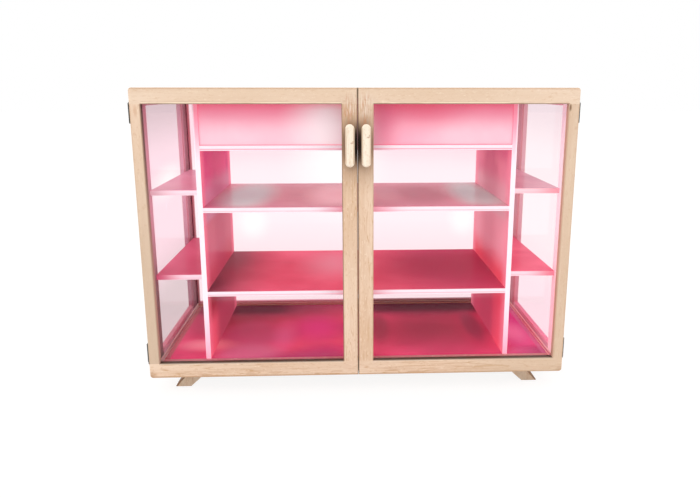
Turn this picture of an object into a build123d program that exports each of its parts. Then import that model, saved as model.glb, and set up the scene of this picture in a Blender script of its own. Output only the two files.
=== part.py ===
from build123d import *

import os

# Table-top display case for thimbles: a light wooden carcase on four splayed feet, glazed at the
# sides and the back, with two framed glass doors and a fitted insert of coloured boards.
#
# All sizes are in millimetres. +X is to the viewer's right, +Y runs from the doors to the back and
# +Z is up. The origin is on the surface that the feet stand on, under the middle of the case.
# The case is the same left and right, so the right-hand pieces are modelled and mirrored.

os.makedirs("parts", exist_ok=True)

# Overall
case_width = 300.0
case_height = 204.0
carcase_depth = 136.0
foot_height = 14.0

# Stock
sheet = 3.5  # shelves, dividers, fascia and floor
glass = 2.0
fit = 0.2  # clearance round a piece that drops into its seat
seat_gap = 0.3  # clearance between a board's edge and the glass beside it
edge_chamfer = 0.5  # eased edges of the wood

# Carcase boards and frames
base_thickness = 6.0
top_thickness = 7.0
board_corner = 2.0
glass_groove = 2.0  # how far the glass runs up into the top board
frame_thickness = 4.0  # side and back frames
side_front_stile = 12.3
side_back_stile = 21.7
side_bottom_rail = 8.8
side_top_rail = 5.0
back_stile = 3.7
back_bottom_rail = 6.7
back_top_rail = 5.0
margin_width = 1.8  # wooden margin round the floor panel
bead_width = 1.2  # upstand of the margin that the glass stands against
bead_height = 2.2

# Insert, heights above the underside of the case
insert_setback = 5.1  # from the carcase front to the front of the shelves
side_bay = 32.3  # clear width between a divider and the side glass
upper_shelf_top = 165.2
middle_shelf_top = 121.9
lower_shelf_top = 60.7
high_side_shelf_top = 134.4
low_side_shelf_top = 73.6
housing_depth = 1.0  # stopped housings that hold the shelves' ends
housing_stop = 4.0  # uncut length at a divider's front
fascia_setback = 1.0

# Doors
door_thickness = 7.0
door_gap = 0.4  # between the doors' backs and the carcase
meeting_gap = 0.3  # between the two doors
door_top_rail = 10.7
door_bottom_rail = 10.9
hinge_stile = 7.3
meeting_stile = 10.6
rebate_width = 2.0
tenon_length = 3.0
tenon_thickness = 2.6
tenon_shoulder = 1.5

# Handles
handle_drop = 37.5  # from the top of the case down to the middle of the grip
grip_length = 28.0
grip_width = 6.2
grip_thickness = 6.0
grip_bevel = 0.9
stem_length = 22.0
stem_width = 4.4
stem_height = 5.5
handle_screw_spacing = 12.0
handle_screw_length = 12.0

# Hinges
hinge_inset = 16.7  # middle of a hinge, from the nearer end of the door
hinge_length = 13.4
leaf_width = 6.0
leaf_thickness = 0.8
leaf_corner = 0.6
barrel_radius = 1.4
barrel_clearance = 0.1
knuckle_gap = 0.12
pin_radius = 0.55
pin_clearance = 0.05
pin_head_radius = 0.95
pin_head_height = 0.5

# Screws and magnets
screw_radius = 0.55
screw_head_radius = 1.1
screw_hole_clearance = 0.05
screw_facets = 8
leaf_screw_length = 4.2
leaf_screw_spacing = 8.0
foot_screw_length = 11.0
foot_screw_spacing = 5.0
foot_screw_inset = 2.7  # from the outer edge of a foot's top
magnet_radius = 2.0
magnet_depth = 2.0
magnet_from_middle = 12.0

# Feet, seen from the front
foot_inset = 13.5  # from the side of the case to the sole's outer corner
foot_sole = 11.5
foot_lean = 15.4  # how far the inner edge leans in over the foot's height
foot_top = 10.5
foot_bulge = 1.25  # how far the outer edge stands proud of a straight line
foot_depth = 10.0
foot_setback = 8.6  # from the carcase front to a foot's face

# Places worked out from the sizes above
half_width = case_width / 2
handle_projection = stem_height + grip_thickness
overall_depth = handle_projection + door_thickness + door_gap + carcase_depth
back_y = overall_depth / 2
front_y = back_y - carcase_depth
door_back_y = front_y - door_gap
door_front_y = door_back_y - door_thickness

case_bottom = foot_height
case_top = case_bottom + case_height
base_top = case_bottom + base_thickness
top_underside = case_top - top_thickness
floor_top = base_top + sheet

frame_inner_x = half_width - frame_thickness
glass_inner_x = frame_inner_x - glass
frame_inner_y = back_y - frame_thickness
glass_inner_y = frame_inner_y - glass
insert_front = front_y + insert_setback
bead_front_y = glass_inner_y - bead_width
bead_inner_x = glass_inner_x - bead_width
insert_back = bead_front_y - seat_gap
divider_outer = glass_inner_x - side_bay
divider_inner = divider_outer - sheet
side_shelf_end = glass_inner_x - seat_gap
window_front = front_y + side_front_stile
window_back = back_y - side_back_stile

door_inner_x = meeting_gap / 2
opening_inner_x = door_inner_x + meeting_stile
opening_outer_x = half_width - hinge_stile
opening_low = case_bottom + door_bottom_rail
opening_high = case_top - door_top_rail
rebate_depth = glass + fit
tenon_y = door_front_y + (door_thickness - rebate_depth) / 2

hinge_x = half_width + barrel_radius + barrel_clearance
hinge_y = front_y - door_gap / 2
hinge_heights = (case_bottom + hinge_inset, case_top - hinge_inset)
knuckle = (hinge_length - 2 * knuckle_gap) / 3
bore_radius = pin_radius + pin_clearance


def middle(span):
    return (span[0] + span[1]) / 2


def slab(x, y, z, mode=Mode.ADD):
    """A box between two values on each axis, in the part being built."""
    with Locations((middle(x), middle(y), middle(z))):
        Box(x[1] - x[0], y[1] - y[0], z[1] - z[0], mode=mode)


def save(shape, name):
    shape.label = name
    export_step(shape, f"parts/{name}.step")


def save_pair(shape, name):
    """Writes a right-hand piece and its left-hand mirror image."""
    save(mirror(shape, about=Plane.YZ), f"left_{name}")
    save(shape, f"right_{name}")


def plain_board(x, y, z):
    with BuildPart() as board:
        slab(x, y, z)
    return board.part


def wood_strip(x, y, z, along):
    """A wooden strip with its long edges eased."""
    with BuildPart() as strip:
        slab(x, y, z)
        chamfer(strip.edges().filter_by(along), edge_chamfer)
    return strip.part


def screw_bodies(planes, length, mode=Mode.ADD):
    """Countersunk screws whose heads lie flush with the planes, in the part being built. Taken
    away, they leave the holes for such screws, with a little clearance."""
    slack = screw_hole_clearance if mode == Mode.SUBTRACT else 0
    head_depth = screw_head_radius - screw_radius
    for radius, depth, taper in ((screw_radius, length, 0), (screw_head_radius, head_depth, 45)):
        with BuildSketch(*planes) as section:
            RegularPolygon(radius + slack, screw_facets)
        extrude(section.sketch, amount=-depth, taper=taper, mode=mode)


def screws_at(planes, length):
    with BuildPart() as screws:
        screw_bodies(planes, length)
    return screws.part


# ---------------------------------------------------------------- carcase boards

magnet_z = case_top - top_thickness / 2

with BuildPart() as base_board:
    slab((-half_width, half_width), (front_y, back_y), (case_bottom, base_top))
    fillet(base_board.edges().filter_by(Axis.Y).group_by(Axis.Z)[0], board_corner)
    chamfer(base_board.edges().filter_by(Axis.X).group_by(Axis.Z)[0], edge_chamfer)

with BuildPart() as top_board:
    slab((-half_width, half_width), (front_y, back_y), (top_underside, case_top))
    fillet(top_board.edges().filter_by(Axis.Y).group_by(Axis.Z)[-1], board_corner)
    chamfer(top_board.edges().filter_by(Axis.X).group_by(Axis.Z)[-1], edge_chamfer)
    groove_z = (top_underside, top_underside + glass_groove)
    for side in (-1, 1):
        groove_x = sorted((side * (glass_inner_x - fit / 2), side * (frame_inner_x + fit / 2)))
        slab(groove_x, (front_y, frame_inner_y), groove_z, Mode.SUBTRACT)
    back_groove_y = (glass_inner_y - fit / 2, frame_inner_y + fit / 2)
    slab((-frame_inner_x, frame_inner_x), back_groove_y, groove_z, Mode.SUBTRACT)
    with Locations(
        *[
            Plane((side * magnet_from_middle, front_y, magnet_z), x_dir=(1, 0, 0), z_dir=(0, -1, 0))
            for side in (-1, 1)
        ]
    ):
        Hole(magnet_radius, magnet_depth)

# ---------------------------------------------------------------- side and back frames

frame_x = (frame_inner_x, half_width)
frame_z = (base_top, top_underside)

side_front = wood_strip(frame_x, (front_y, window_front), frame_z, Axis.Z)
side_back = wood_strip(frame_x, (window_back, back_y), frame_z, Axis.Z)
side_low = wood_strip(
    frame_x, (window_front, window_back), (base_top, base_top + side_bottom_rail), Axis.Y
)
side_high = wood_strip(
    frame_x, (window_front, window_back), (top_underside - side_top_rail, top_underside), Axis.Y
)
glass_top = top_underside + glass_groove - fit
side_glass = plain_board(
    (glass_inner_x, frame_inner_x), (front_y + seat_gap, frame_inner_y - fit), (base_top, glass_top)
)

back_frame_y = (frame_inner_y, back_y)
back_side = wood_strip((frame_inner_x - back_stile, frame_inner_x), back_frame_y, frame_z, Axis.Z)
back_span = (back_stile - frame_inner_x, frame_inner_x - back_stile)
back_low = wood_strip(
    back_span, back_frame_y, (base_top, base_top + back_bottom_rail), Axis.X
)
back_high = wood_strip(
    back_span, back_frame_y, (top_underside - back_top_rail, top_underside), Axis.X
)
back_glass = plain_board(
    (fit - glass_inner_x, glass_inner_x - fit), (glass_inner_y, frame_inner_y), (base_top, glass_top)
)

# ---------------------------------------------------------------- floor

floor_edge_x = glass_inner_x - margin_width
floor_back = glass_inner_y - margin_width
floor_z = (base_top, floor_top)
bead_z = (floor_top, floor_top + bead_height)


def floor_margin(x, y, bead_x, bead_y, along):
    """A strip of the wooden margin, with a bevelled bead along the glass."""
    with BuildPart() as margin:
        slab(x, y, floor_z)
        slab(bead_x, bead_y, bead_z)
        chamfer(margin.edges().filter_by(along).group_by(Axis.Z)[-1], bead_width / 3)
    return margin.part


floor_panel = plain_board((-floor_edge_x, floor_edge_x), (insert_front, floor_back), floor_z)
front_margin = plain_board((-floor_edge_x, floor_edge_x), (front_y, insert_front), floor_z)
back_margin = floor_margin(
    (-floor_edge_x, floor_edge_x),
    (floor_back, glass_inner_y),
    (-bead_inner_x, bead_inner_x),
    (bead_front_y, glass_inner_y),
    Axis.X,
)
side_margin = floor_margin(
    (floor_edge_x, glass_inner_x),
    (front_y, glass_inner_y),
    (bead_inner_x, glass_inner_x),
    (front_y, glass_inner_y),
    Axis.Y,
)

# ---------------------------------------------------------------- insert

centre_tops = {
    "upper_shelf": case_bottom + upper_shelf_top,
    "middle_shelf": case_bottom + middle_shelf_top,
    "lower_shelf": case_bottom + lower_shelf_top,
}
side_tops = {
    "high_side_shelf": case_bottom + high_side_shelf_top,
    "low_side_shelf": case_bottom + low_side_shelf_top,
}
insert_y = (insert_front, insert_back)
housing_y = (insert_front + housing_stop, insert_back)
tongue_y = (insert_front + housing_stop + fit, insert_back)
housing = housing_depth + fit / 2
fascia_y = (insert_front + fascia_setback, insert_front + fascia_setback + sheet)


def housing_z(top):
    return (top - sheet - fit / 2, top + fit / 2)


# A divider carries the centre shelves on its inner face and the side shelves on its outer face,
# in stopped housings that don't show at the front.
with BuildPart() as divider:
    slab((divider_inner, divider_outer), insert_y, (floor_top, top_underside))
    for top in centre_tops.values():
        cut_x = (divider_inner, divider_inner + housing)
        slab(cut_x, housing_y, housing_z(top), Mode.SUBTRACT)
    for top in side_tops.values():
        cut_x = (divider_outer - housing, divider_outer)
        slab(cut_x, housing_y, housing_z(top), Mode.SUBTRACT)


def centre_shelf(top):
    """A shelf between the dividers, with a tongue at each end behind its notched front corner."""
    shelf_z = (top - sheet, top)
    tongue = divider_inner + housing_depth
    with BuildPart() as shelf:
        slab((-divider_inner, divider_inner), insert_y, shelf_z)
        slab((-tongue, tongue), tongue_y, shelf_z)
    return shelf.part


def side_shelf(top):
    """A shelf from a divider to the side glass, with a tongue at its divider end."""
    shelf_z = (top - sheet, top)
    with BuildPart() as shelf:
        slab((divider_outer, side_shelf_end), insert_y, shelf_z)
        slab((divider_outer - housing_depth, side_shelf_end), tongue_y, shelf_z)
    return shelf.part


fascia = plain_board(
    (-divider_inner, divider_inner), fascia_y, (centre_tops["upper_shelf"], top_underside)
)

# ---------------------------------------------------------------- feet

foot_sole_outer = half_width - foot_inset
foot_sole_inner = foot_sole_outer - foot_sole
foot_top_inner = foot_sole_inner - foot_lean
foot_top_outer = foot_top_inner + foot_top
foot_face_y = front_y + foot_setback
foot_heel_y = back_y - foot_setback
foot_screw_x = foot_top_outer - foot_screw_inset
foot_faces = {"front": foot_face_y, "back": foot_heel_y - foot_depth}


def foot(face_y):
    """A splayed right-hand foot: a leaning outline with a bowed outer edge."""
    outer_middle = ((foot_sole_outer + foot_top_outer) / 2 + foot_bulge, foot_height / 2 + foot_bulge)
    with BuildPart() as body:
        with BuildSketch(Plane.XZ.offset(-face_y)):
            with BuildLine():
                Polyline(
                    (foot_top_outer, foot_height),
                    (foot_top_inner, foot_height),
                    (foot_sole_inner, 0),
                    (foot_sole_outer, 0),
                )
                ThreePointArc((foot_sole_outer, 0), outer_middle, (foot_top_outer, foot_height))
            make_face()
        extrude(amount=-foot_depth)
        chamfer(body.edges().filter_by(GeomType.CIRCLE), edge_chamfer)
        screw_bodies(foot_screw_planes(face_y), foot_screw_length + fit, Mode.SUBTRACT)
    return body.part


def foot_screw_planes(face_y):
    """The heads of a right-hand foot's two screws, in the top of the base board."""
    mid_y = face_y + foot_depth / 2
    offsets = (-foot_screw_spacing / 2, foot_screw_spacing / 2)
    return [Plane((foot_screw_x, mid_y + offset, base_top)) for offset in offsets]


base_screw_planes = []
for face in foot_faces.values():
    for plane in foot_screw_planes(face):
        base_screw_planes += [plane, Plane((-plane.origin.X, plane.origin.Y, base_top))]

with BuildPart() as drilled_base:
    add(base_board.part)
    screw_bodies(base_screw_planes, foot_screw_length, Mode.SUBTRACT)

# ---------------------------------------------------------------- hinges


def leaf_screw_planes(direction):
    """The heads of the screws in a right-hand leaf's outer face."""
    y = hinge_y + direction * (leaf_width + barrel_radius) / 2
    offsets = (-leaf_screw_spacing / 2, leaf_screw_spacing / 2)
    x = half_width + leaf_thickness
    return [
        Plane((x, y, height + offset), x_dir=(0, 1, 0), z_dir=(1, 0, 0))
        for height in hinge_heights
        for offset in offsets
    ]


def leaves(direction, knuckles):
    """The upper and lower leaves on one body: direction is -1 for the door's, which lie forward of
    the pin, and 1 for the case's. knuckles are the thirds of the barrel that they carry."""
    root = barrel_radius + 2 * barrel_clearance
    plate_y = sorted((hinge_y + direction * root, hinge_y + direction * leaf_width))
    tab_y = sorted((hinge_y, hinge_y + direction * (root + barrel_clearance)))
    leaf_x = (half_width, half_width + leaf_thickness)
    with BuildPart() as pair:
        for height in hinge_heights:
            low = height - hinge_length / 2
            slab(leaf_x, plate_y, (low, low + hinge_length))
            for third in knuckles:
                start = low + third * (knuckle + knuckle_gap)
                slab(leaf_x, tab_y, (start, start + knuckle))
                with BuildSketch(Plane.XY.offset(start)):
                    with Locations((hinge_x, hinge_y)):
                        Circle(barrel_radius)
                extrude(amount=knuckle)
            with Locations((hinge_x, hinge_y, height)):
                Cylinder(bore_radius, 2 * hinge_length, mode=Mode.SUBTRACT)
        far_edge = pair.faces().sort_by(Axis.Y)[0 if direction < 0 else -1].center().Y
        corners = pair.edges().filter_by(Axis.X).filter_by_position(Axis.Y, far_edge, far_edge)
        chamfer(corners, leaf_corner)
        screw_bodies(leaf_screw_planes(direction), leaf_screw_length, Mode.SUBTRACT)
    return pair.part


case_leaves = leaves(1, (0, 2))
door_leaves = leaves(-1, (1,))

with BuildPart() as pins:
    for side in (-1, 1):
        for height in hinge_heights:
            with Locations((side * hinge_x, hinge_y, height)):
                Cylinder(pin_radius, hinge_length)
            with Locations((side * hinge_x, hinge_y, height + (hinge_length + pin_head_height) / 2)):
                Cylinder(pin_head_radius, pin_head_height)

with BuildPart() as drilled_side_front:
    add(side_front)
    screw_bodies(leaf_screw_planes(1), leaf_screw_length + fit, Mode.SUBTRACT)

# ---------------------------------------------------------------- doors

door_y = (door_front_y, door_back_y)
opening_x = (opening_inner_x, opening_outer_x)
opening_z = (opening_low, opening_high)
rebate_x = (opening_inner_x - rebate_width, opening_outer_x + rebate_width)
rebate_z = (opening_low - rebate_width, opening_high + rebate_width)
rebate_y = (door_back_y - rebate_depth, door_back_y)
stiles_x = ((door_inner_x, opening_inner_x), (opening_outer_x, half_width))
handle_x = door_inner_x + meeting_stile / 2
handle_z = case_top - handle_drop


def tenon_spans(stile_x, slack):
    """Where a stile's stub tenon or its mortise lies, across the stile and through its thickness."""
    half = tenon_thickness / 2 + slack
    tenon_x = (stile_x[0] + tenon_shoulder - slack, stile_x[1] - tenon_shoulder + slack)
    return tenon_x, (tenon_y - half, tenon_y + half)


def ease_opening():
    """Chamfers the front edge of the glazed opening, in the part being built."""
    with BuildSketch(Plane.XZ.offset(-door_front_y)) as outline:
        with Locations((middle(opening_x), middle(opening_z))):
            Rectangle(
                opening_x[1] - opening_x[0] + 2 * edge_chamfer,
                opening_z[1] - opening_z[0] + 2 * edge_chamfer,
            )
    extrude(outline.sketch, amount=-edge_chamfer, taper=45, mode=Mode.SUBTRACT)


def door_rail(z, outside):
    """A rail as wide as the door, rebated for the glass and mortised for both stiles.
    outside is the sorted place, lowest or highest, of its outer edges."""
    inner_z = z[1] if outside == 0 else z[0]
    reach = tenon_length + fit
    mortise_z = sorted((inner_z, inner_z - reach if outside == 0 else inner_z + reach))
    with BuildPart() as rail:
        slab((door_inner_x, half_width), door_y, z)
        corner = rail.edges().filter_by(Axis.Y).group_by(Axis.Z)[outside].sort_by(Axis.X)[-1]
        fillet(corner, board_corner)
        front_edges = rail.faces().sort_by(Axis.Y)[0].edges()
        inner_edge = front_edges.filter_by(Axis.X).sort_by(Axis.Z)[-1 - outside]
        chamfer(front_edges - ShapeList([inner_edge]), edge_chamfer)
        ease_opening()
        slab(rebate_x, rebate_y, rebate_z, Mode.SUBTRACT)
        for stile_x in stiles_x:
            mortise_x, mortise_y = tenon_spans(stile_x, fit / 4)
            slab(mortise_x, mortise_y, mortise_z, Mode.SUBTRACT)
        if outside == -1:
            with Locations(Plane((magnet_from_middle, door_back_y, magnet_z), z_dir=(0, 1, 0))):
                Hole(magnet_radius, magnet_depth)
    return rail.part


def door_stile(stile_x):
    """A stile between the rails, with a stub tenon at each end and a rebate for the glass."""
    tenon_x, tenon_span_y = tenon_spans(stile_x, 0)
    with BuildPart() as stile:
        slab(stile_x, door_y, opening_z)
        outer = stile.edges().filter_by(Axis.Z).group_by(Axis.Y)[0].sort_by(Axis.X)
        chamfer(outer[0 if stile_x[0] == door_inner_x else -1], edge_chamfer)
        ease_opening()
        slab(rebate_x, rebate_y, rebate_z, Mode.SUBTRACT)
        slab(tenon_x, tenon_span_y, (opening_low - tenon_length, opening_high + tenon_length))
    return stile.part


low_rail = door_rail((case_bottom, opening_low), 0)
high_rail = door_rail((opening_high, case_top), -1)

with BuildPart() as hinge_side_stile:
    add(door_stile(stiles_x[1]))
    screw_bodies(leaf_screw_planes(-1), leaf_screw_length + fit, Mode.SUBTRACT)

handle_screw_planes = [
    Plane((handle_x, door_back_y, handle_z + offset), x_dir=(1, 0, 0), z_dir=(0, 1, 0))
    for offset in (-handle_screw_spacing / 2, handle_screw_spacing / 2)
]

with BuildPart() as meeting_side_stile:
    add(door_stile(stiles_x[0]))
    screw_bodies(handle_screw_planes, handle_screw_length, Mode.SUBTRACT)

door_glass = plain_board(
    (rebate_x[0] + fit, rebate_x[1] - fit),
    (door_back_y - glass, door_back_y),
    (rebate_z[0] + fit, rebate_z[1] - fit),
)

# The handle is one carved piece: a round-ended grip on a shorter stem.
with BuildPart() as handle:
    with BuildSketch(Plane((handle_x, door_front_y, handle_z), x_dir=(0, 0, 1), z_dir=(0, -1, 0))):
        SlotOverall(stem_length, stem_width)
    extrude(amount=stem_height)
    grip_plane = Plane(
        (handle_x, door_front_y - stem_height, handle_z), x_dir=(0, 0, 1), z_dir=(0, -1, 0)
    )
    with BuildSketch(grip_plane):
        SlotOverall(grip_length, grip_width)
    extrude(amount=grip_thickness)
    grip_ends = handle.faces().filter_by(Axis.Y).group_by(Axis.Y)
    chamfer(grip_ends[0].edges(), grip_bevel)
    screw_bodies(handle_screw_planes, handle_screw_length + fit, Mode.SUBTRACT)

with BuildPart() as door_magnet:
    with Locations(Plane((magnet_from_middle, door_back_y, magnet_z), z_dir=(0, 1, 0))):
        Cylinder(
            magnet_radius - fit / 4,
            magnet_depth - fit / 2,
            align=(Align.CENTER, Align.CENTER, Align.MAX),
        )

with BuildPart() as case_magnets:
    with Locations(
        *[
            Plane((side * magnet_from_middle, front_y, magnet_z), z_dir=(0, -1, 0))
            for side in (-1, 1)
        ]
    ):
        Cylinder(
            magnet_radius - fit / 4,
            magnet_depth - fit / 2,
            align=(Align.CENTER, Align.CENTER, Align.MAX),
        )

with BuildPart() as door_screws:
    screw_bodies(leaf_screw_planes(-1), leaf_screw_length)
    screw_bodies(handle_screw_planes, handle_screw_length)

right_case_screws = screws_at(leaf_screw_planes(1), leaf_screw_length)
with BuildPart() as case_hinge_screws:
    add(right_case_screws)
    mirror(right_case_screws, about=Plane.YZ)

# ---------------------------------------------------------------- files

save(drilled_base.part, "base_board")
save(top_board.part, "top_board")
save_pair(drilled_side_front.part, "front_stile")
save_pair(side_back, "back_stile")
save_pair(side_low, "bottom_rail")
save_pair(side_high, "top_rail")
save_pair(side_glass, "side_glass")
save_pair(back_side, "back_frame_stile")
save(back_low, "back_frame_bottom_rail")
save(back_high, "back_frame_top_rail")
save(back_glass, "back_glass")
save(floor_panel, "floor_panel")
save(front_margin, "front_floor_margin")
save(back_margin, "back_floor_margin")
save_pair(side_margin, "floor_margin")
save_pair(divider.part, "divider")
save(fascia, "top_fascia")
for name, top in centre_tops.items():
    save(centre_shelf(top), name)
for name, top in side_tops.items():
    save_pair(side_shelf(top), name)
for end, face in foot_faces.items():
    save_pair(foot(face), f"{end}_foot")
save(screws_at(base_screw_planes, foot_screw_length), "foot_screws")
save_pair(case_leaves, "case_hinge_leaves")
save(pins.part, "hinge_pins")
save(case_hinge_screws.part, "case_hinge_screws")
save(case_magnets.part, "case_magnets")
save_pair(low_rail, "door_bottom_rail")
save_pair(high_rail, "door_top_rail")
save_pair(hinge_side_stile.part, "door_hinge_stile")
save_pair(meeting_side_stile.part, "door_meeting_stile")
save_pair(door_glass, "door_glass")
save_pair(handle.part, "door_handle")
save_pair(door_leaves, "door_hinge_leaves")
save_pair(door_screws.part, "door_screws")
save_pair(door_magnet.part, "door_magnet")
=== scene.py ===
import math

import bpy
from mathutils import Matrix, Vector


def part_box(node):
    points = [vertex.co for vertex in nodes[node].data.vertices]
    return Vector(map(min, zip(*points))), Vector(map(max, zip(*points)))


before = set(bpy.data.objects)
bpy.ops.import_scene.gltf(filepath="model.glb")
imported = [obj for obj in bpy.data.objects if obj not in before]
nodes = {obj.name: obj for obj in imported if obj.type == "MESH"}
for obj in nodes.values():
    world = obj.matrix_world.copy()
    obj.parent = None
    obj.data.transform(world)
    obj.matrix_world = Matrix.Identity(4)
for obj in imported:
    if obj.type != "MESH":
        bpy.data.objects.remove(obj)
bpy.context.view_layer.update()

MM = 0.001
X, Y, Z = 0, 1, 2
WHITE = (1, 1, 1, 1)
SIDES = (("left", -1), ("right", 1))  # each side and the sign of its x

# Places that the masks share, in millimetres. Those on x are distances out from the middle.
DOOR_Y = -66  # the doors' front
BOARD_FRONT, BOARD_BACK = -53.45, 69.95  # the ends of the shelves and dividers
MEETING_EDGE, HINGE_EDGE = 0.15, 150.0  # a door's two upright edges
OPENING = (10.75, 142.7)  # a door's opening
HANDLE_X, HANDLE_Z = 5.45, 180.5  # a handle's centre
LOWER_SHELF_Z, MIDDLE_SHELF_Z, FLOOR_Z = 75, 136, 23  # the tops of boards with painted patches


# ---------------------------------------------------------------- colours
def rgb(r, g, b):
    """An sRGB colour, 0 to 255, as the linear colour that a shader takes."""
    def linear(c):
        c = c / 255
        return c / 12.92 if c <= 0.04045 else ((c + 0.055) / 1.055) ** 2.4
    return (linear(r), linear(g), linear(b), 1.0)


# ---------------------------------------------------------------- node trees
class Tree:
    """A node tree, with a call for each kind of node that the finishes and the studio need.

    A mask is a socket that runs from 0 to 1. The CAD nodes' own coordinates are those of the
    whole case, in metres, and the calls that make masks take millimetres.
    """

    def __init__(self, owner, output="ShaderNodeOutputMaterial", coordinates="Object"):
        owner.use_nodes = True
        self.owner = owner
        self.tree = owner.node_tree
        self.tree.nodes.clear()
        self.out = self.add(output)
        place = self.add("ShaderNodeTexCoord")
        self.place = place.outputs[coordinates]
        self.xyz = self.split(self.place)
        self.facing = self.split(place.outputs["Normal"])

    def add(self, kind, **settings):
        made = self.tree.nodes.new(kind)
        for key, value in settings.items():
            setattr(made, key, value)
        return made

    def link(self, source, target):
        self.tree.links.new(source, target)

    def put(self, value, socket):
        """Links a socket to another one, or sets it to a plain value."""
        if isinstance(value, bpy.types.NodeSocket):
            self.link(value, socket)
        else:
            socket.default_value = value

    def split(self, vector):
        """A vector's three parts."""
        made = self.add("ShaderNodeSeparateXYZ")
        self.link(vector, made.inputs[0])
        return made.outputs

    def math(self, operation, a, b=0.0, c=None):
        made = self.add("ShaderNodeMath", operation=operation)
        self.put(a, made.inputs[0])
        self.put(b, made.inputs[1])
        if c is not None:
            self.put(c, made.inputs[2])
        return made.outputs[0]

    def times(self, *masks):
        """The product of masks, which is 1 where all of them are."""
        total = masks[0]
        for mask in masks[1:]:
            total = self.math("MULTIPLY", total, mask)
        return total

    def ramp(self, value, low, high, to_low=0.0, to_high=1.0):
        """value taken smoothly from low..high to to_low..to_high."""
        made = self.add("ShaderNodeMapRange", interpolation_type="SMOOTHSTEP")
        for socket, number in zip(made.inputs, (value, low, high, to_low, to_high)):
            self.put(number, socket)
        return made.outputs[0]

    def mix(self, factor, a, b):
        made = self.add("ShaderNodeMix", data_type="RGBA")
        self.put(factor, made.inputs["Factor"])
        self.put(a, made.inputs[6])
        self.put(b, made.inputs[7])
        return made.outputs[2]

    def tint(self, colour, paint, mask, strength):
        """colour with paint over it, as strongly as the mask and the strength say."""
        return self.mix(self.math("MULTIPLY", mask, strength), colour, paint)

    def painted(self, colour, layers):
        """colour under layers of (mask maker, paint, strength)."""
        for make, paint, strength in layers:
            colour = self.tint(colour, paint, make(self), strength)
        return colour

    def mapped(self, location, scale):
        """The coordinates times the scale, plus the location."""
        made = self.add("ShaderNodeMapping")
        self.link(self.place, made.inputs["Vector"])
        made.inputs["Scale"].default_value = scale
        made.inputs["Location"].default_value = location
        return made.outputs[0]

    def noise(self, stretch, offset=(0, 0, 0), detail=2.0, roughness=0.5, distortion=0.0):
        """Noise whose cells are 1 / stretch metres long on each axis."""
        made = self.add("ShaderNodeTexNoise")
        self.link(self.mapped(offset, stretch), made.inputs["Vector"])
        made.inputs["Scale"].default_value = 1.0
        made.inputs["Detail"].default_value = detail
        made.inputs["Roughness"].default_value = roughness
        made.inputs["Distortion"].default_value = distortion
        return made.outputs["Fac"]

    def face(self, axis, sign, low=0.6, high=0.8):
        """1 on faces that look along sign on axis. A lower low takes in the chamfers round them."""
        return self.ramp(self.math("MULTIPLY", self.facing[axis], sign), low, high)

    def near(self, axis, value, width, feather):
        """1 within width of a plane, fading to 0 over feather."""
        gap = self.math("ABSOLUTE", self.math("SUBTRACT", self.xyz[axis], value * MM))
        return self.ramp(gap, width * MM, width * MM + feather * MM, 1.0, 0.0)

    def along(self, axis, low, high):
        """0 at low on an axis, rising to 1 at high."""
        return self.ramp(self.xyz[axis], low * MM, high * MM)

    def outward(self, sign, low, high, to_low=0.0, to_high=1.0):
        """0 at low, out from the middle on the side of that sign, turning to 1 at high."""
        out = self.math("MULTIPLY", self.xyz[X], sign)
        return self.ramp(out, low * MM, high * MM, to_low, to_high)

    def blob(self, centre, radii, inner=0.0):
        """1 at a point, fading to 0 on the ellipsoid of those radii, from inner of them on."""
        location = [-c / r for c, r in zip(centre, radii)]
        far = self.add("ShaderNodeVectorMath", operation="LENGTH")
        self.link(self.mapped(location, [1 / (r * MM) for r in radii]), far.inputs[0])
        return self.ramp(far.outputs["Value"], inner, 1.0, 1.0, 0.0)

    def edge(self, lo, hi, width, ragged):
        gaps = []
        for axis in (X, Y, Z):
            here = self.xyz[axis]
            gaps.append(self.math("MINIMUM", self.math("SUBTRACT", here, lo[axis]),
                                  self.math("SUBTRACT", hi[axis], here)))
        low = self.math("MINIMUM", gaps[X], gaps[Y])
        high = self.math("MAXIMUM", gaps[X], gaps[Y])
        second = self.math("MAXIMUM", low, self.math("MINIMUM", high, gaps[Z]))
        rough = self.noise((700, 700, 700), detail=3.0)
        wander = self.math("MULTIPLY_ADD", rough, ragged * MM, -ragged * MM / 2)
        return self.ramp(self.math("ADD", second, wander), 0.0, width * MM, 1.0, 0.0)

    def bump(self, height, strength, distance):
        """The normal of a surface that stands out where height is above 0."""
        made = self.add("ShaderNodeBump")
        made.inputs["Strength"].default_value = strength
        made.inputs["Distance"].default_value = distance * MM
        self.put(height, made.inputs["Height"])
        return made.outputs[0]

    def node(self, kind, **sockets):
        """The first output of a new node, with its sockets set by name."""
        made = self.add("ShaderNode" + kind)
        for key, value in sockets.items():
            self.put(value, made.inputs[key.replace("_", " ")])
        return made.outputs[0]

    def joined(self, kind, *inputs):
        """Two shaders added, or mixed by the factor that comes before them."""
        made = self.add("ShaderNode" + kind)
        for value, socket in zip(inputs, made.inputs):
            self.put(value, socket)
        return made.outputs[0]

    def finish(self, surface):
        self.link(surface, self.out.inputs["Surface"])


def dress(name, t):
    """Gives a CAD node the material that a tree belongs to."""
    if not nodes[name].material_slots:
        nodes[name].data.materials.append(t.owner)
    for slot in nodes[name].material_slots:
        slot.material = t.owner


# ---------------------------------------------------------------- mask makers
# Each gives a function that makes its mask in a tree, so that layers can be listed as data.
def facing(axis, sign):
    return lambda t: t.face(axis, sign)


def rise(axis, low, high):
    return lambda t: t.along(axis, low, high)


def band(axis, value, width, feather):
    return lambda t: t.near(axis, value, width, feather)


def patch(centre, radii, inner=0.0):
    return lambda t: t.blob(centre, radii, inner)


def marks(stretch, offset, detail, low, high):
    """Scattered marks, where noise is above low."""
    return lambda t: t.ramp(t.noise(stretch, offset, detail), low, high)


def both(*makers):
    return lambda t: t.times(*[make(t) for make in makers])


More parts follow.
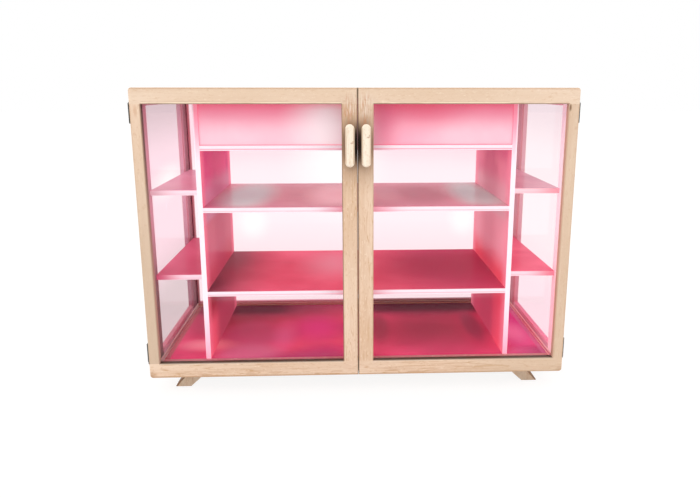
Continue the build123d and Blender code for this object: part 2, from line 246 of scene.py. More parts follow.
def either(first, second):
    return lambda t: t.math("MAXIMUM", first(t), second(t))


def on_front(*makers):
    return both(facing(Y, -1), *makers)


def door_patch(x, z, radii, inner=0.0, depth=60):
    """A patch at the doors' front, with its radii on x and z."""
    return patch((x, DOOR_Y, z), (radii[0], depth, radii[1]), inner)


# ---------------------------------------------------------------- wood
# How strongly the faces that lit marks glow, as painted light.
LIT_STRENGTH = 0.3
PALE_FLECKS = rgb(255, 232, 210)


def stretched(across, along_grain, grain):
    """A noise's stretch, which differs along the grain."""
    stretch = [across] * 3
    stretch[grain] = along_grain
    return stretch


def wood(name, grain, palette, edge_width=0, seed=0, layers=(), rough=0.5, figure=0.7, lit=None):
    """Fine-grained wood, with a palette of pale, dark and line colours.

    grain is the axis it runs along, figure is how strong its growth lines are, and edge_width is
    that of the dark lines along the piece's edges. lit makes the mask of a face that gets a painted
    glow, which stands for the light that the boards beside it throw back.
    """
    lo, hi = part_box(name)
    pale, dark, line = palette
    t = Tree(bpy.data.materials.new("wood_" + name))
    fine = stretched(760.0, 260.0, grain)
    broad = stretched(170.0, 9.0, grain)
    drift = stretched(26.0, 8.0, grain)
    shift = (seed * 3.1, seed * 1.7, seed * 5.3)
    turned = (shift[1], shift[2], shift[0])
    pores = t.ramp(t.noise(fine, shift, 3.0, 0.75), 0.54, 0.68)
    flecks = t.ramp(t.noise(fine, turned, 3.0, 0.75), 0.56, 0.7)
    bands = t.noise(broad, shift, 4.0, 0.6, 0.6)
    tone = t.ramp(t.noise(drift, shift, 2.0), 0.35, 0.75)
    colour = t.mix(t.ramp(bands, 0.3, 0.75), pale, dark)
    colour = t.tint(colour, line, tone, 0.35)

    # Thin growth lines follow the levels of a long noise, and show only in some places.
    growth = t.math("MULTIPLY", t.noise(broad, shift[::-1], 2.0, 0.5, 0.3), 11.0)
    rings = t.ramp(t.math("PINGPONG", growth, 0.5), 0.0, 0.13, 1.0, 0.0)
    patchy = t.ramp(t.noise(drift, shift[::-1], 2.0), 0.42, 0.66)
    colour = t.tint(colour, line, t.times(rings, patchy), figure)
    colour = t.tint(colour, line, pores, 0.5)
    colour = t.tint(colour, PALE_FLECKS, flecks, 0.6)
    if edge_width:
        colour = t.tint(colour, line, t.edge(lo, hi, edge_width, ragged=0.5), 0.75)
    colour = t.painted(colour, layers)

    height = t.math("MULTIPLY_ADD", pores, -0.6, bands)
    painted_glow = {}
    if lit:
        painted_glow["Emission_Color"] = colour
        painted_glow["Emission_Strength"] = t.math("MULTIPLY", lit(t), LIT_STRENGTH)
    t.finish(t.node(
        "BsdfPrincipled",
        Base_Color=colour,
        Roughness=t.ramp(bands, 0.2, 0.8, rough - 0.06, rough + 0.1),
        Normal=t.bump(height, 0.25, 0.12),
        **painted_glow,
    ))
    dress(name, t)


LINE, EDGE_LINE = rgb(212, 165, 116), rgb(186, 132, 82)

# ---------------------------------------------------------------- doors
DOOR_WOOD = (rgb(246, 217, 191), rgb(234, 201, 172), LINE)
# Painted shade on the faces in a door's opening: on the stiles, deep on the left door and light on
# the right, and on the rails.
OPENING_SIDE_SHADE = {-1: rgb(66, 58, 42), 1: rgb(216, 188, 158)}  # the stiles' faces in a door's opening
OPENING_SILL_SHADE = rgb(88, 74, 56)
GAP_SHADE = rgb(96, 84, 68)
# The left hinge stile is darker towards its foot and the right one all over, and each has a
# small mark near its top.
HINGE_STILE_TONES = {
    -1: [(rise(Z, 240, 60), rgb(214, 188, 162), 0.8),
         (on_front(door_patch(-146.2, 203, (1.8, 6), 0.2, 30)), rgb(214, 166, 124), 0.5)],
    1: [(facing(Y, -1), rgb(216, 192, 168), 0.4),
        (on_front(door_patch(143.7, 205, (1.1, 3.4), 0.3, 30)), rgb(120, 82, 48), 0.8)],
}


def rail_layers(sign, lo, hi, top):
    """A door rail's edge lines, a painted highlight on the bottom rail's inner edge, its tones, and
    painted shade on its face in the opening.
    """
    outer, inner = (hi[Z] / MM, lo[Z] / MM) if top else (lo[Z] / MM, hi[Z] / MM)
    near_gap, near_hinge = OPENING

    def beside_opening(t):
        return t.times(t.outward(sign, near_gap, near_gap + 1),
                       t.outward(sign, near_hinge - 1, near_hinge, 1.0, 0.0))

    def line_at(height, width, feather, *makers):
        return on_front(band(Z, height, width, feather), *makers)

    # The bottom rail's inner line is a painted highlight, the top rail's an edge line.
    inner_line_or_highlight = EDGE_LINE if top else rgb(255, 238, 216)
    layers = [(line_at(outer, 0.6, 0.8), EDGE_LINE, 0.75),
              (line_at(inner, 0.4, 0.7, beside_opening), inner_line_or_highlight, 0.6)]
    if top:
        worn = marks((60, 60, 60), (4, sign, 4), 3.0, 0.35, 0.6)
        layers += [
            (line_at(inner + 0.9, 0.25, 0.35, beside_opening, worn), rgb(255, 232, 200), 0.85),
            (line_at(inner + 1.8, 0.1, 0.3, beside_opening, worn), EDGE_LINE, 0.4),
            (facing(Y, -1), rgb(240, 223, 202), 0.3),
        ]
    else:
        wavy = marks((60, 60, 700), (9, 2, 4), 3.0, 0.52, 0.6)
        layers += [
            (on_front(door_patch(sign * HINGE_EDGE, 14, (7, 7), 0.1)), rgb(170, 112, 62), 0.6),
            (on_front(rise(Z, 22, 15), wavy), rgb(198, 146, 96), 0.5),
        ]
        if sign > 0:
            layers.append((on_front(rise(X, 50, 120)), rgb(214, 186, 156), 0.5))
    return layers + [(facing(Z, -1 if top else 1), OPENING_SILL_SHADE, 1.0)]


def stile_layers(sign, hinge):
    """A door stile's two edge lines, and painted shade on its face in the opening."""
    inner, outer = (OPENING[1], HINGE_EDGE) if hinge else (OPENING[0], MEETING_EDGE)
    return [
        (on_front(band(X, sign * inner, 0.4, 0.6)), EDGE_LINE, 0.55),
        (on_front(band(X, sign * outer, 0.4, 0.6)), EDGE_LINE, 0.5),
        (facing(X, -sign if hinge else sign), OPENING_SIDE_SHADE[sign], 1.0),
    ]


def handle_shade(sign):
    """The handle's shade on the wood behind it, and streaks in the wood above it."""
    x = sign * HANDLE_X
    streaks = (2300, 900, 150)
    return [
        (door_patch(x, HANDLE_Z, (16, 40)), rgb(178, 146, 116), 0.8),
        (door_patch(sign * 4.6, HANDLE_Z, (8.5, 22), 0.25), rgb(104, 80, 60), 0.8),
        (door_patch(0, HANDLE_Z, (4.6, 19), 0.2), rgb(40, 31, 25), 1.0),
        (both(door_patch(x, HANDLE_Z + 22, (6, 16), 0.3),
              marks(streaks, (sign, 2, 3), 2.0, 0.5, 0.62)), rgb(206, 134, 86), 0.6),
        (both(door_patch(x, HANDLE_Z + 26, (7, 12), 0.3),
              marks(streaks, (sign, 7, 3), 2.0, 0.52, 0.64)), rgb(250, 234, 220), 0.6),
    ]


def door_layers(part, sign, lo, hi):
    """All that is painted over a door part's plain wood."""
    if part.endswith("rail"):
        layers = rail_layers(sign, lo, hi, part == "top_rail")
    else:
        layers = stile_layers(sign, part == "hinge_stile")
    if part in ("top_rail", "meeting_stile"):
        layers += handle_shade(sign)
    if part == "hinge_stile":
        return layers + HINGE_STILE_TONES[sign]
    # A meeting stile's whole side is shaded, but a rail only at its end by the gap.
    gap = facing(X, -sign)
    if part != "meeting_stile":
        gap = both(gap, band(X, sign * MEETING_EDGE, 1, 1))
    return layers + [(gap, GAP_SHADE, 1.0)]


DOOR_PARTS = {"bottom_rail": X, "top_rail": X, "hinge_stile": Z, "meeting_stile": Z}
for side, sign in SIDES:
    for part, grain in DOOR_PARTS.items():
        name = f"{side}_door_{part}"
        lo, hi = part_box(name)
        wood(name, grain, DOOR_WOOD, seed=sign * (1 + grain) + len(part),
             layers=door_layers(part, sign, lo, hi))

# ---------------------------------------------------------------- case
CASE_WOOD = (rgb(238, 208, 180), rgb(220, 184, 152), LINE)
# Inside, the wood carries painted pink light from the boards and painted shade, which differ from
# side to side. Each pair is a tone above and a tone below.
FRONT_STILE_INSIDE = {-1: (rgb(236, 212, 220), rgb(154, 146, 142)),
                      1: (rgb(248, 250, 255), rgb(255, 232, 236))}
BACK_STILE_INSIDE = {-1: (rgb(232, 192, 210), rgb(192, 140, 160)),
                     1: (rgb(238, 200, 208), rgb(226, 160, 174))}
FRAME_STILE_INSIDE = {-1: (rgb(232, 196, 202), rgb(190, 160, 162)),
                      1: (rgb(236, 212, 214), rgb(214, 180, 184))}
FRAME_RAIL_INSIDE = (rgb(214, 150, 158), rgb(214, 150, 158))
SILL_INSIDE = {-1: rgb(248, 168, 190), 1: rgb(252, 150, 186)}
CORNER_SHADE = {-1: rgb(176, 132, 140), 1: rgb(220, 186, 192)}


def pink_faces(inside, tones):
    """Layers for the faces that look into the case: painted pink light above and painted shade
    below.
    """
    high, low = tones
    return [(inside, high, 0.95), (both(inside, rise(Z, 140, 60)), low, 0.95)]


def stile_inside(sign, back):
    """A corner stile's two inner faces."""
    return either(facing(X, -sign), facing(Y, -1 if back else 1))


def case_layers(name, sign):
    """All that is painted over a case part's plain wood: painted pink light and painted shade on
    its faces inside the case.
    """
    if "board" in name:
        return [(facing(Z, 1 if name == "base_board" else -1), rgb(248, 176, 192), 0.8)]
    if "back_frame_stile" in name:
        return pink_faces(either(facing(Y, -1), facing(X, -sign)), FRAME_STILE_INSIDE[sign])
    if "back_frame" in name:
        inside = either(facing(Y, -1), facing(Z, 1))
        layers = pink_faces(inside, FRAME_RAIL_INSIDE)
        if name == "back_frame_bottom_rail":
            # Painted light on the left half of the back rail and painted shade on its right half.
            layers += [(both(inside, rise(X, 20, -20)), rgb(240, 184, 206), 0.8),
                       (both(inside, rise(X, 0, 20)), rgb(140, 108, 110), 0.8)]
        return layers
    if "rail" in name:
        return [(either(facing(X, -sign), facing(Z, 1)), SILL_INSIDE[sign], 0.9),
                (facing(X, -sign), rgb(255, 230, 244), 0.9)]
    back = "back" in name
    inside = stile_inside(sign, back)
    layers = pink_faces(inside, (BACK_STILE_INSIDE if back else FRONT_STILE_INSIDE)[sign])
    if back:
        layers.append((both(inside, rise(Y, 60, 62)), CORNER_SHADE[sign], 0.8))
    return layers


SIDE_PARTS = {"front_stile": Z, "back_stile": Z, "bottom_rail": Y, "top_rail": Y,
              "back_frame_stile": Z}
grains = {"base_board": X, "top_board": X, "back_frame_bottom_rail": X, "back_frame_top_rail": X}
for side, _ in SIDES:
    grains |= {f"{side}_{part}": grain for part, grain in SIDE_PARTS.items()}
for count, (name, grain) in enumerate(grains.items()):
    sign = -1 if name.startswith("left") else 1
    # The right front stile's inner faces also get a painted glow.
    wood(name, grain, CASE_WOOD, edge_width=0.7, seed=10 + count, layers=case_layers(name, sign),
         lit=stile_inside(sign, False) if name == "right_front_stile" else None)

# ---------------------------------------------------------------- handles and feet
HANDLE_WOOD = (rgb(255, 245, 225), rgb(252, 234, 210), rgb(236, 204, 168))
HANDLE_NICK = rgb(186, 132, 92)
NICK_Z = {-1: (182.4, 183.2), 1: (186.2, 187.2)}
FOOT_WOOD = (rgb(240, 222, 200), rgb(228, 200, 172), rgb(190, 144, 104))
FOOT_BULGE = 1.25  # how far a foot's outer side curves out from a straight line


def handle_layers(sign):
    """Rosy flecks, a small nick of two strokes, and painted shade on the sides."""
    x = sign * HANDLE_X
    across, up = NICK_Z[sign]
    return [
        (on_front(marks((1400, 900, 500), (x, 1, 2), 3.0, 0.58, 0.7)), rgb(236, 186, 160), 0.5),
        (on_front(patch((x + 1.3, -77, across), (1.6, 30, 0.7), 0.1)), HANDLE_NICK, 0.7),
        (on_front(patch((x + 2.1, -77, up), (0.7, 30, 1.2), 0.1)), HANDLE_NICK, 0.6),
        (either(facing(X, 1), facing(X, -1)), rgb(196, 156, 118), 0.85),
    ]


def foot_rim(name, sign, lo, hi):
    """The mask of the painted shade on a foot's outer curved side and on a narrow band beside it.
    """
    points = [tuple(v.co) for v in nodes[name].data.vertices]
    top_x = max(sign * x for x, y, z in points if z > hi[Z] - MM)
    foot_x = max(sign * x for x, y, z in points if z < lo[Z] + MM)

    def rim(t):
        level = t.math("DIVIDE", t.xyz[Z], hi[Z])
        straight = t.math("MULTIPLY_ADD", level, top_x - foot_x, foot_x)
        arch = t.math("MULTIPLY", level, t.math("SUBTRACT", 1.0, level))
        outer = t.math("ADD", straight, t.math("MULTIPLY", arch, 4 * FOOT_BULGE * MM))
        depth = t.math("SUBTRACT", outer, t.math("MULTIPLY", t.xyz[X], sign))
        return t.ramp(depth, 0.9 * MM, 1.9 * MM, 1.0, 0.0)
    return rim


for side, sign in SIDES:
    wood(f"{side}_door_handle", Z, HANDLE_WOOD, rough=0.42, seed=40 + len(side),
         layers=handle_layers(sign))
    for end in ("front", "back"):
        name = f"{side}_{end}_foot"
        lo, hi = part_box(name)
        wood(name, Z, FOOT_WOOD, edge_width=0.5, seed=50 + len(side) + len(end), figure=0.8,
             layers=[(foot_rim(name, sign, lo, hi), rgb(142, 100, 66), 0.9)])

# ---------------------------------------------------------------- pink boards
PALE_EDGE = rgb(246, 230, 238)


def gloss(name, palette, front=None, seam=0, edge_layers=(), seed=0, layers=(), rough=0.2,
          ior=1.06, painted_glow=0.16):
    """Glossy pink acrylic, with a little emission as painted light that brightens it.

    palette is its two tones. front is the colour of its polished front edge, seam is how strong
    the line along that edge is, and edge_layers are painted over it.
    """
    lo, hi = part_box(name)
    plain, deep = palette
    t = Tree(bpy.data.materials.new("gloss_" + name))
    cloud = t.noise((26, 26, 26), (seed, seed * 2, seed * 3), 3.0, 0.6)
    speck = t.noise((900, 900, 900), (seed, seed, seed), 2.0)
    colour = t.painted(t.mix(t.ramp(cloud, 0.3, 0.7), plain, deep), layers)
    colour = t.tint(colour, deep, t.ramp(speck, 0.3, 0.7), 0.06)
    if front:
        edge = t.painted(front, edge_layers)
        if seam:
            middle = (lo[Z] + hi[Z]) / 2 / MM
            edge = t.tint(edge, plain, t.near(Z, middle - 0.8, 0.2, 0.35), seam)
        colour = t.mix(t.face(Y, -1, 0.5, 0.65), colour, edge)
    t.finish(t.node(
        "BsdfPrincipled",
        Base_Color=colour,
        Roughness=t.ramp(speck, 0.3, 0.7, rough - 0.03, rough + 0.05),
        IOR=ior,
        Normal=t.bump(speck, 0.03, 0.05),
        Emission_Color=colour,
        Emission_Strength=painted_glow,
    ))
    dress(name, t)


def spots(level, *rows):
    """Soft oval patches of painted reflection and painted shade on a board whose top is at that
    height.

    Each row has the place on x and y, the radii on x and y, how much of them is at full strength
    (0 to 1), the colour and its strength.
    """
    return [(patch((x, y, level), (radius_x, radius_y, 20), inner), rgb(*colour), strength)
            for x, y, radius_x, radius_y, inner, colour, strength in rows]


# The patches and bands on the tops of the boards are painted reflections and painted shade. The
# edges of the three shelves are deeper pink in the middle.
centre_edge = [(patch((2, -53, 120), (36, 20, 90), 0.3), rgb(255, 156, 182), 0.75)]
gloss("upper_shelf", (rgb(244, 128, 156), rgb(236, 108, 140)), PALE_EDGE, 0.7, centre_edge, seed=1)
gloss("middle_shelf", (rgb(212, 140, 156), rgb(200, 124, 144)), PALE_EDGE, 0.4, centre_edge, seed=2,
      ior=1.09, layers=[
          *spots(MIDDLE_SHELF_Z,
                 (-104, -42, 34, 44, 0, (188, 100, 132), 0.8),
                 (104, -30, 34, 44, 0, (206, 160, 168), 0.7),
                 (-84, 6, 30, 88, 0.25, (194, 238, 230), 0.92),
                 (52, 6, 27, 74, 0.3, (182, 92, 118), 0.9),
                 (94, 8, 27, 88, 0.25, (192, 240, 230), 0.92),
                 (25, 8, 14, 56, 0.2, (206, 160, 172), 0.5),
                 (-16, 6, 32, 70, 0.2, (246, 212, 220), 0.95)),
          (rise(Y, -44, -53), rgb(226, 110, 144), 0.4),
      ])
gloss("lower_shelf", (rgb(242, 100, 130), rgb(230, 86, 116)), PALE_EDGE, 0.4, centre_edge, seed=3,
      ior=1.03, layers=[
          *spots(LOWER_SHELF_Z, (-48, 58, 40, 50, 0, (255, 124, 152), 0.7)),
          (rise(X, -58, -118), rgb(136, 74, 90), 0.92),
          *spots(LOWER_SHELF_Z,
                 (-110, 44, 34, 60, 0, (146, 96, 106), 0.6),
                 (-112, -38, 26, 40, 0, (104, 40, 58), 0.8),
                 (95, 16, 104, 120, 0.35, (182, 56, 92), 0.92),
                 (-17, 22, 40, 66, 0, (255, 176, 196), 0.75)),
      ])

# For each side, a side shelf's two tones, its front edge's colour, and the same at the outer end.
# The two sides differ as painted light and shade.
HIGH_SIDE_SHELF = {
    -1: ((rgb(226, 160, 182), rgb(214, 144, 168)), rgb(250, 218, 228), rgb(246, 196, 210)),
    1: ((rgb(214, 160, 176), rgb(200, 144, 162)), rgb(255, 206, 214), rgb(252, 170, 186)),
}
LOW_SIDE_SHELF = {
    -1: ((rgb(212, 100, 130), rgb(198, 84, 114)), rgb(248, 210, 222), rgb(226, 84, 124)),
    1: ((rgb(240, 116, 142), rgb(226, 98, 128)), rgb(255, 214, 224), rgb(252, 140, 164)),
}
# A divider's two tones, the one at its front and back ends, and those of its inner face in the
# compartments over the middle shelf (upper), over the lower shelf (middle) and over the floor
# (lowest). These are painted light and shade, and differ from side to side. lowest_pale is the
# strength of a paler tone at the foot.
DIVIDER = {
    -1: {"palette": (rgb(236, 76, 142), rgb(216, 60, 126)), "ends": rgb(255, 132, 160),
         "upper_foot": rgb(212, 146, 174), "middle": rgb(212, 106, 130),
         "middle_foot": rgb(208, 78, 102), "lowest": rgb(170, 34, 58),
         "lowest_back": rgb(148, 60, 92), "lowest_pale": 0.8},
    1: {"palette": (rgb(238, 144, 170), rgb(222, 122, 152)), "ends": rgb(255, 150, 174),
        "upper_foot": rgb(234, 180, 192), "middle": rgb(250, 162, 182),
        "middle_foot": rgb(244, 66, 92), "lowest": rgb(255, 88, 122),
        "lowest_back": rgb(204, 80, 122), "lowest_pale": 0.3},
}


def side_shelf(name, sign, tones, seed, layers=()):
    """A side shelf, whose front edge changes colour towards its outer end."""
    palette, edge_colour, end_colour = tones
    gloss(name, palette, edge_colour, 0.25, seed=seed, layers=layers,
          edge_layers=[(lambda t: t.outward(sign, 122, 144), end_colour, 0.95)])


def divider(name, sign, tones):
    """A divider, with the painted light and shade of each compartment beside it."""
    def inner_face(low, high):
        """The face towards the middle of the case, fading in from low to high."""
        return both(facing(X, -sign), rise(Z, low, high))

    def inner_half(t):
        """The half of the front edge that is towards the middle of the case."""
        return t.outward(sign, 112.0, 110.2)

    ends = either(rise(Y, BOARD_FRONT + 18, BOARD_FRONT), rise(Y, BOARD_BACK - 18, BOARD_BACK))
    outer_face = facing(X, sign)
    gloss(name, tones["palette"], PALE_EDGE, seed=9, ior=1.04, painted_glow=0.24,
          layers=[
              (inner_face(158, 140), tones["upper_foot"], 0.85),
              (inner_face(160, 176), rgb(204, 34, 118), 0.5),
              (inner_face(126, 120), tones["middle"], 0.9),
              (inner_face(100, 78), tones["middle_foot"], 0.85),
              (inner_face(76, 70), tones["lowest"], 0.9),
              (inner_face(62, 42), rgb(255, 108, 138), tones["lowest_pale"]),
              (both(inner_face(72, 64), rise(Y, -40, -6)), tones["lowest_back"], 0.55),
              (band(Y, 10, 8, 30), rgb(172, 62, 104), 0.22),
              (ends, tones["ends"], 0.75),
              (outer_face, rgb(236, 132, 162), 0.8),
              (both(outer_face, rise(Z, 180, 30)), rgb(220, 72, 112), 0.7),
          ],
          edge_layers=[(both(inner_half, rise(Z, 160, 200)), rgb(252, 140, 166), 0.9),
                       (rise(Z, 72, 24), rgb(255, 176, 204), 0.75)])


for side, sign in SIDES:
    side_shelf(f"{side}_high_side_shelf", sign, HIGH_SIDE_SHELF[sign], seed=5,
               layers=spots(MIDDLE_SHELF_Z, (sign * 143, -50, 34, 60, 0, (244, 208, 216), 0.85)))
    side_shelf(f"{side}_low_side_shelf", sign, LOW_SIDE_SHELF[sign], seed=7)
    divider(f"{side}_divider", sign, DIVIDER[sign])

# The fascia has a painted highlight left of the middle, and turns a deeper pink towards its top as
# painted shade. Its other patches are painted light and shade too.
fascia_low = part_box("top_fascia")[0][2]
gloss("top_fascia", (rgb(252, 206, 218), rgb(248, 194, 208)), seed=11, layers=[
    (rise(Z, 186, 207), rgb(255, 130, 162), 0.9),
    (patch((-12, -52, 192), (46, 20, 48), 0.2), rgb(255, 238, 242), 0.9),
    (patch((34, -52, 210), (60, 20, 30), 0.2), rgb(242, 108, 138), 0.8),
    (patch((24, -52, 182), (50, 20, 26)), rgb(254, 170, 192), 0.85),
    (patch((18, -52, 196), (16, 20, 34)), rgb(222, 88, 128), 0.6),
    (rise(Z, 202, 209), rgb(230, 86, 114), 0.5),
    (band(Z, fascia_low / MM, 0.3, 0.5), rgb(250, 120, 152), 0.7),
])
# The floor's patches are painted reflections and painted shade: it is dark along its back, and
# mauve, magenta and pale towards the front and the sides.
at_back = rise(Y, 38, 54)
gloss("floor_panel", (rgb(234, 84, 128), rgb(212, 70, 112)), seed=13, rough=0.14, ior=1.04, layers=[
    *spots(FLOOR_Z,
           (-108, 40, 50, 56, 0.2, (186, 70, 98), 0.85),
           (-66, 76, 110, 66, 0.2, (132, 50, 76), 0.92),
           (66, 82, 100, 66, 0.3, (88, 24, 44), 0.92)),
    (both(at_back, rise(X, -44, -74)), rgb(66, 16, 34), 0.75),
    (both(at_back, rise(X, 4, 12)), rgb(52, 14, 26), 0.7),
    *spots(FLOOR_Z,
           (60, 0, 66, 66, 0, (172, 66, 96), 0.8),
           (18, 8, 13, 50, 0.3, (164, 68, 94), 0.8),
           (97, 10, 11, 50, 0.3, (164, 68, 102), 0.8),
           (-32, 8, 34, 44, 0, (240, 72, 166), 0.85),
           (-24, -42, 30, 24, 0, (196, 54, 120), 0.8)),
    (both(rise(X, -98, -124), rise(Y, -34, 16)), rgb(156, 78, 100), 0.55),
    *spots(FLOOR_Z,
           (-84, -6, 32, 44, 0.4, (206, 94, 140), 0.7),
           (-82, -44, 34, 26, 0.4, (212, 112, 150), 0.8),
           (-58, -6, 15, 44, 0, (236, 112, 172), 0.8),
           (-34, -56, 54, 20, 0.2, (180, 72, 118), 0.85),
           (-116, -26, 30, 18, 0.1, (255, 170, 186), 0.75),
           (128, 10, 24, 90, 0.3, (206, 56, 134), 0.85),
           (127, -8, 20, 40, 0, (244, 140, 184), 0.65),
           (136, -50, 20, 18, 0, (140, 40, 90), 0.85),
           (124, -52, 24, 18, 0.3, (206, 98, 142), 0.6)),
    (rise(X, 137.6, 139.2), rgb(196, 112, 148), 0.7),
    (rise(X, -137.8, -139.6), rgb(158, 106, 102), 0.75),
])

# ---------------------------------------------------------------- floor margins
MARGIN_LINE = rgb(214, 160, 140)
# The three margins that have painted layers stand a little higher than the floor panel.
margin_top = facing(Z, 1)
margin_front = on_front(rise(Z, 24.0, 25.0))
# The margins' tones and layers are painted light and shade: the side margins' tops carry a painted
# highlight, and the back margin's front turns dark right of the middle.
MARGINS = {
    "front_floor_margin": (X, rgb(218, 142, 148), rgb(196, 118, 126), []),
    "back_floor_margin": (X, rgb(214, 192, 156), rgb(194, 168, 134), [
        (margin_front, rgb(214, 134, 154), 0.85),
        (both(margin_front, rise(X, 0, 20)), rgb(96, 56, 58), 0.85)]),
    "left_floor_margin": (Y, rgb(202, 188, 184), rgb(182, 166, 162), [
        (margin_top, rgb(214, 194, 186), 0.5)]),
    "right_floor_margin": (Y, rgb(246, 176, 194), rgb(232, 160, 180), [
        (margin_top, rgb(255, 226, 208), 0.85)]),
}
for count, (name, (grain, pale, dark, layers)) in enumerate(MARGINS.items()):
    wood(name, grain, (pale, dark, MARGIN_LINE), seed=30 + count, layers=layers, figure=0.3)

# ---------------------------------------------------------------- glass and metal
GLASS_IOR = 1.45
MIRROR_SHARE = 0.2  # how much of a pane reflects as glass does; the rest only lets light through


def glass(name, low, middle, high, glows=(), fade=(165, 210)):
    """A clear sheet, tinted from low to high on it, where the tint stands for painted reflections.

    fade gives the heights between which the tint turns from middle to high, and glows are places
    and radii where the sheet has no tint, as painted light. Shadow and diffuse rays pass as if it
    weren't there.
    """
    t = Tree(bpy.data.materials.new("glass_" + name))
    shade = t.mix(t.along(Z, 60, 110), low, middle)
    shade = t.mix(t.along(Z, *fade), shade, high)
    for place, radii in glows:
        shade = t.mix(t.blob(place, radii), shade, WHITE)
    smear = t.noise((40, 40, 14), (3, 1, 2), 3.0)
    pane = t.node("BsdfPrincipled", Base_Color=shade, Transmission_Weight=1.0, IOR=GLASS_IOR,
                  Roughness=t.ramp(smear, 0.5, 0.9, 0.0, 0.006))
    # Light crosses two faces, so each of them takes the square root of the tint.
    each_face = t.node("Gamma", Color=shade, Gamma=0.5)
    through = t.node("BsdfRefraction", Color=each_face, IOR=GLASS_IOR, Roughness=0.0)
    sheet = t.joined("MixShader", MIRROR_SHARE, through, pane)
    path = t.add("ShaderNodeLightPath").outputs
    lighting = t.math("MAXIMUM", path["Is Shadow Ray"], path["Is Diffuse Ray"])
    t.finish(t.joined("MixShader", lighting, sheet, t.node("BsdfTransparent", Color=WHITE)))
    dress(name, t)


glass("left_side_glass", rgb(218, 201, 204), rgb(252, 224, 234), rgb(216, 195, 200),
      glows=[((-144, 0, 148), (10, 70, 18))])
glass("right_side_glass", rgb(255, 230, 238), rgb(255, 243, 247), rgb(242, 226, 231))
glass("back_glass", rgb(250, 228, 234), rgb(255, 240, 246), rgb(255, 224, 233), fade=(142, 172),
      glows=[((-91, 72, 101), (20, 10, 22)), ((98, 72, 103), (18, 10, 22)),
             ((-16, 72, 150), (56, 10, 60))])
for side, _ in SIDES:
    glass(f"{side}_door_glass", rgb(255, 253, 254), rgb(255, 254, 254), rgb(255, 253, 254))


def metal(name, colour, worn, rough):
    t = Tree(bpy.data.materials.new("metal_" + name))
    pitted = t.noise((900, 900, 900), (0, 0, 0), 3.0, 0.6)
    t.finish(t.node(
        "BsdfPrincipled",
        Base_Color=t.tint(colour, worn, t.ramp(pitted, 0.55, 0.75), 0.6),
        Metallic=0.85,
        Roughness=t.ramp(pitted, 0.3, 0.8, rough - 0.08, rough + 0.15),
        Normal=t.bump(pitted, 0.2, 0.05),
    ))
    dress(name, t)


for name in nodes:
    if "hinge_leaves" in name:
        metal(name, rgb(92, 92, 90), rgb(150, 146, 138), 0.42)
    elif name == "hinge_pins":
        metal(name, rgb(96, 96, 98), rgb(150, 146, 140), 0.36)
    elif "screws" in name:
        metal(name, rgb(128, 124, 118), rgb(176, 170, 160), 0.34)
    elif "magnet" in name:
        metal(name, rgb(206, 206, 210), rgb(170, 168, 166), 0.22)

# ---------------------------------------------------------------- studio
FLOOR_REACH = 6.0
corners = [(x * FLOOR_REACH, y * FLOOR_REACH, 0) for x, y in ((-1, -1), (1, -1), (1, 1), (-1, 1))]
ground = bpy.data.meshes.new("studio_floor")
ground.from_pydata(corners, [], [(0, 1, 2, 3)])
floor = bpy.data.objects.new("studio_floor", ground)
bpy.context.scene.collection.objects.link(floor)

# Rays that see the floor get a dark ground with an even glow, and the light that it throws on the
# case is that of a plain pale one. The glow fades towards the front in what the boards and panes
# mirror, so that they aren't washed out.
t = Tree(bpy.data.materials.new("studio_floor"))
path = t.add("ShaderNodeLightPath").outputs
in_front = t.times(t.along(Y, -110, -600), path["Is Reflection Ray"])
strength = t.math("ADD", t.math("MULTIPLY", in_front, -0.78), 0.88)
glow = t.node("Emission", Color=WHITE, Strength=strength)
looked_at = t.joined("AddShader", t.node("BsdfDiffuse", Color=(0.17, 0.16, 0.155, 1)), glow)
looks = t.math("MAXIMUM", path["Is Camera Ray"],
               t.math("MAXIMUM", path["Is Glossy Ray"], path["Is Transmission Ray"]))
bounce = t.node("BsdfDiffuse", Color=(0.8, 0.8, 0.8, 1))
t.finish(t.joined("MixShader", looks, bounce, looked_at))
ground.materials.append(t.owner)

# The world is white where it is seen. In its light and in what is mirrored, it is darker in front
# of the case, towards -y.
world = bpy.data.worlds.new("studio")
bpy.context.scene.world = world
t = Tree(world, "ShaderNodeOutputWorld", "Generated")
path = t.add("ShaderNodeLightPath").outputs
seen = t.node("Background", Color=WHITE, Strength=1.0)
light = t.node("Background", Color=WHITE, Strength=t.ramp(t.xyz[Y], -0.7, 0.5, 0.82, 1.08))
mirrored = t.node("Background", Color=WHITE, Strength=t.ramp(t.xyz[Y], -0.85, -0.1, 0.12, 1.0))
direct = t.math("MAXIMUM", path["Is Camera Ray"], path["Is Transmission Ray"])
unseen = t.joined("MixShader", path["Is Glossy Ray"], light, mirrored)
t.finish(t.joined("MixShader", direct, unseen, seen))


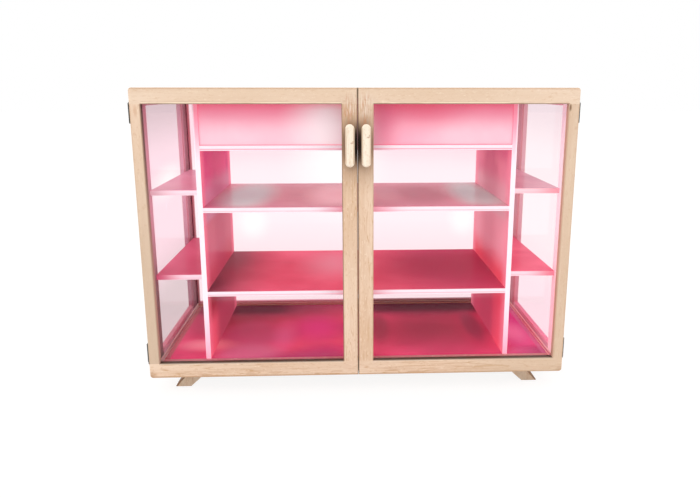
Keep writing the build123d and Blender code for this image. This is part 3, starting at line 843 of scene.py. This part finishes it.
def lamp(name, place, aim, size, power):
    data = bpy.data.lights.new(name, "AREA")
    data.shape = "DISK"
    data.size = size
    data.energy = power
    made = bpy.data.objects.new(name, data)
    bpy.context.scene.collection.objects.link(made)
    made.location = place
    made.rotation_euler = (Vector(aim) - Vector(place)).to_track_quat("-Z", "Y").to_euler()


lamp("key", (-0.9, -1.3, 1.5), (0, 0, 0.12), size=1.2, power=8)
lamp("fill", (1.3, -1.1, 0.9), (0, 0, 0.12), size=1.4, power=4)
lamp("top", (0.0, 0.3, 1.8), (0, 0, 0.1), size=1.2, power=2)

# ---------------------------------------------------------------- camera
# It stands in front of the case, a little above it, and looks down at the doors. Angles are in
# radians, the place in millimetres, and the focal length and the centre of view in pixels.
PITCH, YAW, ROLL = -0.226755, -0.043333, 0.000535
CAMERA_PLACE = (-11.2791, -518.2675, 216.9818)
FOCAL, CENTRE = 666.519184, (370.050677, 242.950901)
IMAGE = (700, 498)
SENSOR = 36

ahead = Vector((-math.sin(YAW) * math.cos(PITCH), math.cos(YAW) * math.cos(PITCH), math.sin(PITCH)))
right = Vector((math.cos(YAW), math.sin(YAW), 0))
up = right.cross(ahead)
turned_right = math.cos(ROLL) * right + math.sin(ROLL) * up
turned_up = -math.sin(ROLL) * right + math.cos(ROLL) * up
camera_data = bpy.data.cameras.new("camera")
camera_data.sensor_width = SENSOR
camera_data.lens = FOCAL * SENSOR / IMAGE[0]
camera_data.shift_x = (IMAGE[0] / 2 - CENTRE[0]) / IMAGE[0]
camera_data.shift_y = (CENTRE[1] - IMAGE[1] / 2) / IMAGE[0]
camera_data.clip_start = 0.01
camera_data.clip_end = 50
camera = bpy.data.objects.new("camera", camera_data)
bpy.context.scene.collection.objects.link(camera)
rows = [(turned_right[axis], turned_up[axis], -ahead[axis], CAMERA_PLACE[axis] * MM)
        for axis in (X, Y, Z)]
camera.matrix_world = Matrix(rows + [(0, 0, 0, 1)])
bpy.context.scene.camera = camera

bpy.context.scene.view_settings.view_transform = "Standard"
